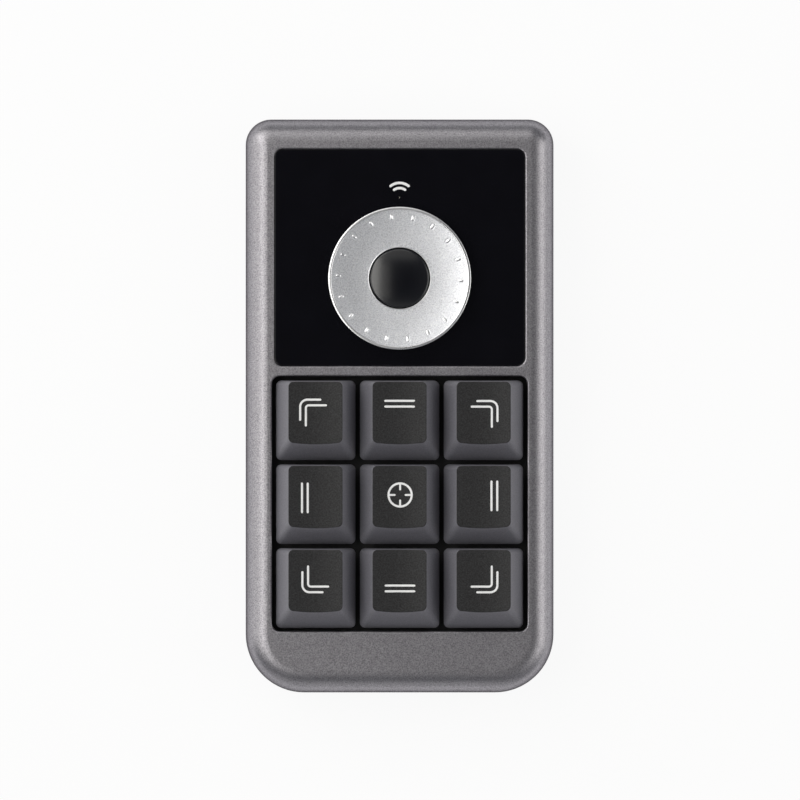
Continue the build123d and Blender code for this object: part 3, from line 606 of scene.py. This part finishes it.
def stroke(path, half_width, surface, closed=False, proud=0.03):
    """A flattened tube along plan points.

    At angle a round the tube the point lies cos(a) * width to the side of the path and
    sin(a) * proud above the surface. Near an open end the width shrinks as a half circle. The
    result is a pair for make_piece."""
    if closed:
        along = np.roll(path, -1, axis=0) - np.roll(path, 1, axis=0)
        share = np.ones(len(path))
    else:
        along = np.gradient(path, axis=0)
        walked = np.concatenate([[0], np.cumsum(np.linalg.norm(np.diff(path, axis=0), axis=1))])
        to_end = np.minimum(walked, walked[-1] - walked) / half_width
        share = np.sqrt(1 - np.clip(1 - to_end, 0, 1) ** 2)
    along = along / np.linalg.norm(along, axis=1, keepdims=True)
    side = np.stack([-along[:, 1], along[:, 0]], axis=1)
    angle = full_turn(stroke_sides)
    plan = path[:, None] + side[:, None] * (share[:, None] * half_width * np.cos(angle))[..., None]
    height = surface(plan) + share[:, None] * proud * np.sin(angle)
    return np.concatenate([plan, height[..., None]], axis=-1), closed


def eased(count):
    """Shares from 0 to 1 that crowd at both ends: (1 - cos(pi k / n)) / 2."""
    return (1 - np.cos(np.pi * np.arange(count + 1) / count)) / 2


def straight(start, end, count=16):
    """Plan points along a straight line."""
    return np.array(start) + (np.array(end) - np.array(start)) * eased(count)[:, None]


def turned(start, corner, end, radius, count=40):
    """Plan points along a right-angled line whose corner is an arc.

    Up to the arc the point walks from start towards the corner, on the arc it turns about its
    centre, and after the arc it walks on towards the end."""
    start, corner, end = (np.array(p, float) for p in (start, corner, end))
    first, second = corner - start, end - corner
    lengths = np.linalg.norm(first), np.linalg.norm(second)
    first, second = first / lengths[0], second / lengths[1]
    leg, arc = lengths[0] - radius, radius * np.pi / 2
    walked = (eased(count) * (leg + arc + lengths[1] - radius))[:, None]
    angle = (walked - leg) / radius
    centre = corner - first * radius + second * radius
    on_arc = centre - second * radius * np.cos(angle) + first * radius * np.sin(angle)
    after = corner + second * (radius + walked - leg - arc)
    rest = np.where(walked < leg + arc, on_arc, after)
    return np.where(walked < leg, start + first * walked, rest)


def arc_path(middle, radius, from_degrees, to_degrees, count=24):
    """Plan points on a circle, with angles measured clockwise from the rear."""
    angle = np.radians(from_degrees + (to_degrees - from_degrees) * eased(count))
    return np.array(middle) + radius * np.stack([np.sin(angle), np.cos(angle)], axis=1)


def circle_path(middle, radius, count=72):
    """Plan points of a whole circle."""
    return np.array(middle) + radius * on_circle(full_turn(count))


print("strokes ready: straight, turned, arc and circle")

# %% [markdown]
# ## The wireless mark
#
# Above the dial two white arcs are printed over a tiny lamp that shows the wireless link. On a real
# panel the print lies under the clear layer. Here it is made of the same strokes as the marks on
# the caps, on the panel's face, because a stroke stays crisp from near and from any side.

# %% The wireless mark on the panel
mark_radii = (3.32, 2.15)
mark_half_angle = 43.0
mark_half_width = 0.285
lamp_half_width = 0.28
lamp_half_run = 0.05

lamp_middle = middle_mm("status_led")[:2]
panel_surface = flat_at(panel_high[2])
arcs = [stroke(arc_path(lamp_middle, radius, -mark_half_angle, mark_half_angle), mark_half_width,
               panel_surface) for radius in mark_radii]
lamp_ends = lamp_middle - [lamp_half_run, 0], lamp_middle + [lamp_half_run, 0]
lamp_window = stroke(straight(*lamp_ends), lamp_half_width, panel_surface)
make_piece("wireless_mark", arcs, "housing", "keycap", finish="mark_ink")
make_piece("lamp_window", [lamp_window], "housing", "lamp_lens")
print(f"wireless mark: {len(arcs)} arcs over the lamp")

# %% [markdown]
# ## The caps
#
# A keycap is a hollow moulding: a square foot, four leaning sides, and a smaller top that is set
# back to the rear edge and hollowed along its length for the fingertip. Its look is in the soft
# edge where the dished top meets the sides. So the sides are lines from the foot's outline to the
# top's outline, cut off where they meet the dish, and that meeting is rounded. The inside is part
# of the same surface, up to the ceiling.

# %% Cap surface
cap_top_width, cap_top_length, cap_top_corner = 12.3, 13.8, 1.2
cap_foot_corner = 1.2
cap_rear_lean = 0.25
dish_depth = 0.9
cap_edge = 0.22
cap_rim_edge = 0.2
cap_wall = 1.0
cap_top_wall = 0.7
cap_roof = 1.4
room_corner = 0.8
side_rows_count, top_rows_count = 8, 14
meeting_rounds = 8

cap_low, cap_high = box_mm("keycap_r2c2")
cap_foot = cap_high[0] - cap_low[0]
cap_rim, cap_top = cap_low[2], cap_high[2]
top_setback = (cap_foot - cap_top_length) / 2 - cap_rear_lean
dish_radius = ((cap_top_width / 2) ** 2 + dish_depth ** 2) / (2 * dish_depth)
ceiling_height = cap_top - dish_depth - cap_roof


def dish_height(plan):
    """Height of the dished top: a cylinder that lies along the cap, lowest on its middle line."""
    return cap_top - dish_depth + dish_radius - np.sqrt(dish_radius ** 2 - plan[..., 0] ** 2)


def cap_skin():
    """The whole cap as one grid, from the middle of its ceiling, round the rim, to its top.

    Where a side meets the dish is found in a few rounds: each goes up the side to the height that
    the dish has at the last round's place."""
    back = np.array([0.0, top_setback])
    foot = at_height(rounded_rectangle(cap_foot, cap_foot, cap_foot_corner), cap_rim)
    crown = rounded_rectangle(cap_top_width, cap_top_length, cap_top_corner) + back
    lean = at_height(crown, cap_top) - foot
    share = np.ones(foot.shape[0])
    for _ in range(meeting_rounds):
        meeting = foot + lean * share[:, None]
        share = (dish_height(meeting[:, :2]) - cap_rim) / (cap_top - cap_rim)
    edge = foot + lean * share[:, None]
    up = lean / np.linalg.norm(lean, axis=1, keepdims=True)
    inward = back - edge[:, :2]
    reach = np.linalg.norm(inward, axis=1, keepdims=True)
    along_top = np.linspace(0, 1, top_rows_count)[:, None, None]
    plan = edge[:, :2] + inward * (cap_edge / reach + (1 - cap_edge / reach) * along_top)
    top_rows = at_height(plan, dish_height(plan))
    along_side = np.linspace(0, 1, side_rows_count)[:, None, None]
    straight_side = lean * share[:, None] - up * (cap_edge + cap_rim_edge)
    side_rows = (foot + up * cap_rim_edge) + straight_side * along_side

    room_size = cap_foot - 2 * cap_wall
    room_foot = at_height(rounded_rectangle(room_size, room_size, room_corner), cap_rim)
    ceiling_size = cap_top_width - 2 * cap_top_wall, cap_top_length - 2 * cap_top_wall
    ceiling = at_height(rounded_rectangle(*ceiling_size, room_corner) + back, ceiling_height)
    ceiling_middle = np.broadcast_to([*back, ceiling_height], ceiling.shape)
    rim_inside = foot + (room_foot - foot) * cap_rim_edge / cap_wall
    return np.concatenate([
        ceiling_middle[None], ceiling[None], room_foot[None],
        bend(rim_inside, foot, side_rows[0]), side_rows[1:-1],
        bend(side_rows[-1], edge, top_rows[0]), top_rows[1:],
    ])


print(f"dish on the caps: radius {dish_radius:.1f} mm, {dish_depth} mm deep")

# %% [markdown]
# ### The boss under the cap
#
# Under its ceiling each cap has a round boss with a cross-shaped socket that grips the switch's
# stem. It could be cut out of a cylinder. As a grid whose rings go from round to cross-shaped it
# needs no cutting, and every face keeps four corners.

# %% Boss, and the nine caps
boss_diameter = 5.5
boss_overlap = 0.2
cross_arm, cross_thickness = 4.1, 1.35
socket_depth = 3.8
never_zero = 1e-9


def boss_skin(columns=96):
    """The round boss under the ceiling with its cross-shaped socket.

    In direction a the cross reaches as far as the longer of its two bars does there, and a bar of
    half sizes p and q reaches min(p / |cos a|, q / |sin a|)."""
    ring = on_circle(full_turn(columns))
    cosine, sine = np.maximum(np.abs(ring), never_zero).T
    along, across = cross_arm / 2, cross_thickness / 2
    reach = np.maximum(np.minimum(along / cosine, across / sine),
                       np.minimum(across / cosine, along / sine))
    low = box_mm("switch_stem_r2c2")[1][2] - socket_depth
    high = ceiling_height + boss_overlap
    outline, cross = ring * boss_diameter / 2, ring * reach[:, None]
    rows = [(outline * 0, high), (outline, high), (outline, low), (cross, low),
            (cross, low + socket_depth), (cross * 0, low + socket_depth)]
    return np.stack([at_height(plan, z) for plan, z in rows])


cap_grids = [(cap_skin(), False), (boss_skin(), False)]
key_names = sorted(name.removeprefix("keycap_") for name in nodes if name.startswith("keycap_"))
for key in key_names:
    x, y, _ = middle_mm(f"keycap_{key}")
    make_piece(f"cap_{key}", moved(cap_grids, x, y), f"key_{key}", "keycap", [f"keycap_{key}"])
print(f"{len(key_names)} caps, {cap_foot:.2f} mm square at the foot")

# %% [markdown]
# ## The marks on the caps
#
# Each cap carries one plain mark in white ink: a double corner on the four corner keys, a double
# bar on the four side keys, and a ring with four inward ticks in the middle. A picture laid over
# the cap would blur from near. So they are drawn with the strokes from above, laid on the dish.

# %% Marks
ink_half_width = 0.245
corner_leg = 4.80
corner_step = 1.28
corner_radii = (1.6, 0.6)
bar_step = 1.30
bar_length = 7.0
ring_radius, ring_tick = 2.62, 1.60
tick_thinness = 0.9


def ink(path, half_width=ink_half_width, closed=False):
    """A stroke of ink on the dish of a cap."""
    return stroke(path, half_width, dish_height, closed)


def double_corner(x, y, toward_x, toward_y):
    """Two nested right angles: the outer has its corner at x, y, the inner a step further in."""
    paths = []
    for index, radius in enumerate(corner_radii):
        corner = np.array([x + toward_x * corner_step * index, y + toward_y * corner_step * index])
        start = corner + [toward_x * corner_leg, 0]
        end = corner + [0, toward_y * corner_leg]
        paths.append(turned(start, corner, end, radius))
    return [ink(path) for path in paths]


def double_bar(x, y, upright):
    """Two bars side by side about a middle, across the cap or upright."""
    along = np.array([0, bar_length / 2]) if upright else np.array([bar_length / 2, 0])
    apart = np.array([bar_step / 2, 0]) if upright else np.array([0, bar_step / 2])
    middles = [np.array([x, y]) + side * apart for side in (-1, 1)]
    return [ink(straight(middle - along, middle + along)) for middle in middles]


def ringed_cross(x, y):
    """A ring with four ticks that point inwards."""
    middle = np.array([x, y])
    strokes = [ink(circle_path(middle, ring_radius), closed=True)]
    for direction in np.array([[1, 0], [0, 1], [-1, 0], [0, -1]]):
        outer, inner = ring_radius, ring_radius - ring_tick
        path = straight(middle + direction * outer, middle + direction * inner)
        strokes.append(ink(path, ink_half_width * tick_thinness))
    return strokes


marks = {
    "r1c1": double_corner(-3.48, 4.71, 1, -1),
    "r1c2": double_bar(0.0, 3.80, upright=False),
    "r1c3": double_corner(3.14, 4.41, -1, -1),
    "r2c1": double_bar(-2.42, 1.50, upright=True),
    "r2c2": ringed_cross(0.12, 2.16),
    "r2c3": double_bar(2.43, 1.96, upright=True),
    "r3c1": double_corner(-2.98, -0.84, 1, 1),
    "r3c2": double_bar(0.09, 0.02, upright=False),
    "r3c3": double_corner(3.12, -0.86, -1, 1),
}
for key, strokes in marks.items():
    x, y, _ = middle_mm(f"keycap_{key}")
    make_piece(f"mark_{key}", moved(strokes, x, y), f"key_{key}", "keycap", finish="mark_ink")
print(f"{sum(len(s) for s in marks.values())} strokes on {len(marks)} caps")

# %% [markdown]
# ## The dial
#
# The dial is one turned ring: a shallow dish that steepens outwards, a low arch as rim, and a
# recess underneath for its hub. It could be a stack of cylinders and a torus, but those would meet
# in creases. One closed section, carried round the axis, gives a rim that runs into the dish.

# %% Dial section
dial_bore = 13.9
rim_width, rim_crest = 0.7, 0.25
rim_foot_drop = 0.35
rim_rise, rim_fall = 0.18, 0.12
dish_drop = 1.3
dish_fullness = 0.28
lip_round = 0.12
recess_diameter = 27.4
recess_height = 0.95
foot_bevel = 0.1
dish_rows, arch_rows = 60, 15

dial_low, dial_high = box_mm("dial_ring")
dial_outer = (dial_high[0] - dial_low[0]) / 2


def dial_profile():
    """Radius and height along the ring's closed section.

    The rim is a low arch with its crest rim_crest from the dish: a quarter ellipse rim_rise high
    towards the dish, and a wider one rim_fall high outwards."""
    inner = dial_bore / 2
    dish_low, rim_low = dial_high[2] - dish_drop, dial_high[2] - rim_foot_drop
    lip = inner + 2 * lip_round
    u = np.linspace(0, 1, dish_rows)
    half_turn = np.linspace(np.pi, 0, arch_rows)
    climb = dish_fullness * u + (1 - dish_fullness) * u ** 2
    dish = np.stack([lip + (dial_outer - rim_width - lip) * u,
                     dish_low + (rim_low - dish_low) * climb], axis=1)
    lip_arc = np.stack([inner + lip_round + lip_round * np.cos(half_turn),
                        dish_low + lip_round * np.sin(half_turn)], axis=1)
    inwards = half_turn > np.pi / 2
    reach = np.where(inwards, rim_crest, rim_width - rim_crest)
    fall = np.where(inwards, rim_rise, rim_fall)
    rim_arc = np.stack([dial_outer - rim_width + rim_crest + reach * np.cos(half_turn),
                        rim_low + rim_rise - fall * (1 - np.sin(half_turn))], axis=1)
    recess = recess_diameter / 2
    below = np.array([
        [dial_outer, dial_low[2] + foot_bevel], [dial_outer - foot_bevel, dial_low[2]],
        [recess, dial_low[2]], [recess, dial_low[2] + recess_height],
        [inner, dial_low[2] + recess_height],
    ])
    return np.concatenate([lip_arc[:-1], dish[:-1], rim_arc, below])


print(f"dial section of {len(dial_profile())} points, {2 * dial_outer:.1f} mm across")

# %% [markdown]
# ### The pips
#
# Eighteen small pips stand in shallow moats near the rim, for the finger and the eye. As pieces of
# their own they would sit on the dish with a hard seam. Here they are a height added to the ring,
# so they need no cutting. The columns crowd where a pip is, because there the surface bends most.

# %% Pips, and the dial
pip_count = 18
pip_phase = 12.4
pip_radius = 13.9
pip_half_length, pip_half_width = 0.85, 0.55
pip_proud, moat_depth = 0.13, 0.045
crowd_reach = 1.15
near_columns, gap_columns = 15, 8

pip_spacing = 2 * np.pi / pip_count
first_pip = np.pi / 2 - np.radians(pip_phase)


def pip_distance(radius, angle):
    """How far a point lies from the spine of the nearest pip, over the pip's half width.

    The spine is a short radial line. Along it the distance counts only past its ends, and across
    it the distance is the angle to it times the radius."""
    off = (angle - first_pip + pip_spacing / 2) % pip_spacing - pip_spacing / 2
    spine = pip_half_length - pip_half_width
    along = np.maximum(np.abs(radius - pip_radius) - spine, 0)
    return np.hypot(along, off * radius) / pip_half_width


def pip_height(radius, angle):
    """A rounded pip in a moat, by q, the distance from the pip's spine.

    The height is cos^2(pi q) * proud up to q = 1/2, then a moat of -depth * sin^2(2 pi (q - 1/2))
    up to q = 1, and nothing beyond."""
    q = pip_distance(radius, angle)
    pip = pip_proud * np.cos(np.pi * q) ** 2
    moat = -moat_depth * np.sin(2 * np.pi * (q - 0.5)) ** 2
    return np.where(q < 0.5, pip, np.where(q < 1, moat, 0.0))


def crowded_angles():
    """Angles round the dial: near_columns close together at each pip, gap_columns between two."""
    reach = crowd_reach * pip_half_width / pip_radius
    near = np.linspace(-reach, reach, near_columns)
    gap = np.linspace(reach, pip_spacing - reach, gap_columns + 2)[1:-1]
    starts = first_pip + pip_spacing * np.arange(pip_count)
    return (starts[:, None] + np.concatenate([near, gap])).ravel()


def dial_skin():
    """The ring: its section carried round the axis, with the pips added on the dish."""
    profile, angle = dial_profile(), crowded_angles()
    radius, height = profile[:, 0][:, None], profile[:, 1][:, None]
    on_dish = height > dial_high[2] - dish_drop
    height = height + np.where(on_dish, pip_height(radius, angle), 0.0)
    return carried_round(radius, height, angle, dial_middle)


def cut_bright(piece):
    """Gives the rim, the inner lip and the pips the smoother metal.

    These are the faces above the dish's foot whose middle lies within a rim's width of the outside,
    within the lip's width of the bore, or on a pip."""
    faces = piece.data.polygons
    middles = np.empty(3 * len(faces))
    faces.foreach_get("center", middles)
    middles = middles.reshape(-1, 3) / MM
    x, y = middles[:, 0] - dial_middle[0], middles[:, 1] - dial_middle[1]
    radius = np.hypot(x, y)
    bright = (radius > dial_outer - rim_width) | (radius < dial_bore / 2 + 2 * lip_round)
    bright |= pip_distance(radius, np.arctan2(y, x)) < 0.5
    bright &= middles[:, 2] > dial_high[2] - dish_drop
    piece.data.materials.append(finishes["dial_edge"])
    faces.foreach_set("material_index", bright.astype(np.int32))


dial = make_piece("dial_dish", [(dial_skin(), True)], "dial", "dial_metal", ["dial_ring"])
cut_bright(dial)
print(f"dial with {pip_count} pips, {len(dial.data.polygons)} faces")

# %% [markdown]
# ## The push button
#
# The button is a shallow dome of polished plastic on a skirt, hollow below with a stalk that meets
# the switch. A ball flattened by scaling would bulge too much at its edge. Its section is drawn
# instead: an arc of a large circle, a small bend at the shoulder, the skirt, and back inside to the
# stalk.

# %% Button
button_radius = 6.75
button_dome = 0.75
button_bend, bend_fullness = 0.45, 0.05
button_wall = 1.2
flange_top = 3.85
flange_height = 0.8
flange_diameter = 15.2
button_stalk = 5.0
dome_rows, button_columns = 26, 144

button_low, button_high = box_mm("dial_button")


def button_profile():
    """The button's section from the top of the dome to the foot of the stalk."""
    crown = button_high[2]
    shoulder = crown - button_dome
    ball = (button_radius ** 2 + button_dome ** 2) / (2 * button_dome)
    radius = np.linspace(0, button_radius - button_bend, dome_rows)
    dome = np.stack([radius, crown - ball + np.sqrt(ball ** 2 - radius ** 2)], axis=1)
    corner = np.array([[button_radius, shoulder + bend_fullness]])
    below = np.array([[button_radius, shoulder - button_bend]])
    shoulder_rows = bend(dome[-1:], corner, below)[:, 0]
    flange, room, stalk = flange_diameter / 2, button_radius - button_wall, button_stalk / 2
    top, ceiling = button_low[2] + flange_top, shoulder - button_wall
    rest = np.array([
        [button_radius, top], [flange, top], [flange, top - flange_height],
        [room, top - flange_height], [room, ceiling],
        [stalk, ceiling], [stalk, button_low[2]], [0, button_low[2]],
    ])
    return np.concatenate([dome, shoulder_rows[1:], rest])


profile = button_profile()
button = carried_round(profile[:, :1], profile[:, 1:], full_turn(button_columns), dial_middle)
make_piece("button_dome", [(button, False)], "button", "button_gloss", ["dial_button"])
print(f"button {2 * button_radius:.1f} mm across")

# %% [markdown]
# ## The switch springs
#
# Each key stands on a coil spring round its guide pin. The engineering model holds it as a plain
# sleeve. The real thing is a wire on a helix, and it shortens as its key goes down. Here the coil
# is a tube carried along a helix.

# %% Springs
spring_wire = 0.42
spring_turns = 8.0


def coil_skin(middle, radius, low, high, wire, turns, steps=200, sides=8):
    """A wire along a helix, thinned to a point at both ends.

    The centre line climbs evenly while it turns. Each ring of the wire lies across that line,
    spanned by the outward direction and by the one square to it."""
    share = np.linspace(0, 1, steps)
    angle = 2 * np.pi * turns * share
    outward = np.stack([np.cos(angle), np.sin(angle), np.zeros(steps)], axis=1)
    along = np.stack([-radius * np.sin(angle), radius * np.cos(angle),
                      np.full(steps, (high - low - wire) / (2 * np.pi * turns))], axis=1)
    along /= np.linalg.norm(along, axis=1, keepdims=True)
    across = np.cross(outward, along)
    centre = np.array([*middle[:2], 0]) + outward * radius
    centre[:, 2] = low + wire / 2 + (high - low - wire) * share
    round_wire = full_turn(sides)[:, None]
    to_end = np.minimum(np.arange(steps), np.arange(steps)[::-1])
    thickness = wire / 2 * np.clip(to_end, 0, 1)[:, None, None]
    ring = outward[:, None] * np.cos(round_wire) + across[:, None] * np.sin(round_wire)
    return centre[:, None] + ring * thickness


for key in key_names:
    sleeve = f"switch_spring_{key}"
    low, high = box_mm(sleeve)
    radius = (high[0] - low[0] - spring_wire) / 2
    coil = coil_skin((low + high) / 2, radius, low[2], high[2], spring_wire, spring_turns)
    spring = make_piece(f"spring_{key}", [(coil, False)], "housing", "spring_steel", [sleeve])
    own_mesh(spring)
print(f"{len(key_names)} springs of {spring_turns:.0f} turns")

# %% [markdown]
# ## Contacts in the charging socket
#
# Looking into the socket from the rear, one sees a black tongue with a row of gilt contacts. Boxes
# would do from afar. The strokes of the marks, laid on the tongue's upper face, have the rounded
# ends of pressed contacts, and cost one line.

# %% Socket contacts
contact_count = 12
contact_pitch = 0.5
contact_length = 2.4
contact_half_width, contact_proud = 0.13, 0.02
contact_setback = 1.1
tongue_half = 0.35

socket_low, socket_high = box_mm("usb_socket")
tongue_surface = flat_at((socket_low[2] + socket_high[2]) / 2 + tongue_half)
front = socket_high[1] - contact_setback
contacts = [
    stroke(straight((x, front - contact_length), (x, front), count=6), contact_half_width,
           tongue_surface, proud=contact_proud)
    for x in (np.arange(contact_count) - (contact_count - 1) / 2) * contact_pitch
]
make_piece("socket_contacts", contacts, "housing", "pin_brass", finish="contact_gold")
print(f"{contact_count} contacts")

# %% [markdown]
# ## The floor
#
# The keypad lies on a plain pale sheet. A lit white sheet would need as much light as burns out the
# silver dial. So rays from the camera, a mirror or glass see a share of plain white there, and the
# rest is the sheet as lit, which keeps the soft shadow. The sheet is one large triangle, because
# the seam of a square would run under the keypad.

# %% Floor
floor_reach = 3.0
floor_corners = [[-1.8, -1, 0], [1.8, -1, 0], [0, 2, 0]]
white_share = 0.92
mottle_scale = 60.0
sheet_dark, sheet_light = 0.90, 0.93
white = (1.0, 1.0, 1.0)


def arithmetic(tree, operation, *values):
    """The result of an operation on two values, each a socket or a number."""
    node = tree.nodes.new("ShaderNodeMath")
    node.operation = operation
    for socket, value in zip(node.inputs, values):
        feed(tree, socket, value)
    return node.outputs[0]


def mixed_shader(tree, share, first, second):
    """Two shaders mixed by a share from 0, the first, to 1, the second."""
    mix = add_node(tree, "ShaderNodeMixShader", Fac=share)
    feed(tree, mix.inputs[1], first.outputs[0])
    feed(tree, mix.inputs[2], second.outputs[0])
    return mix


def floor_finish():
    """A matt pale sheet that camera, mirror and glass rays see partly as plain white.

    From below it is clear, so that the underside of the keypad can be looked at."""
    material = bpy.data.materials.new("pale_sheet")
    material.use_nodes = True
    tree = material.node_tree
    tree.nodes.remove(tree.nodes["Principled BSDF"])
    sheet = blend_colour(tree, object_noise(tree, mottle_scale, 3.0), shade(white, sheet_dark),
                         shade(white, sheet_light))
    matt = add_node(tree, "ShaderNodeBsdfDiffuse", Color=sheet)
    bright = add_node(tree, "ShaderNodeEmission", Color=shade(white, 1.0), Strength=1.0)
    ray = tree.nodes.new("ShaderNodeLightPath").outputs
    seen = ray["Is Camera Ray"]
    for name in ("Is Glossy Ray", "Is Transmission Ray"):
        seen = arithmetic(tree, "MAXIMUM", seen, ray[name])
    share = arithmetic(tree, "MULTIPLY", seen, white_share)
    clear = add_node(tree, "ShaderNodeBsdfTransparent")
    below = tree.nodes.new("ShaderNodeNewGeometry").outputs["Backfacing"]
    sided = mixed_shader(tree, below, mixed_shader(tree, share, matt, bright), clear)
    tree.links.new(sided.outputs[0], tree.nodes["Material Output"].inputs["Surface"])
    return material


floor_mesh = bpy.data.meshes.new("floor")
floor_mesh.from_pydata(np.array(floor_corners) * floor_reach, [], [(0, 1, 2)])
floor_mesh.materials.append(floor_finish())
floor = bpy.data.objects.new("floor", floor_mesh)
bpy.context.scene.collection.objects.link(floor)
floor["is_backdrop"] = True
print(f"floor: {white_share:.0%} plain white, the rest as lit")

# %% [markdown]
# ## Sizes and the end
#
# The boxes of the engineering model and of the dressed model are printed at the end. The dressed
# model has to stay inside the box of the engineering model.

# %% Print the sizes
seen_low, seen_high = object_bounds()
for what, low, high in (("model", cad_low, cad_high), ("looks", seen_low, seen_high)):
    print(what, [round(v / MM, 2) for v in high - low], "mm")
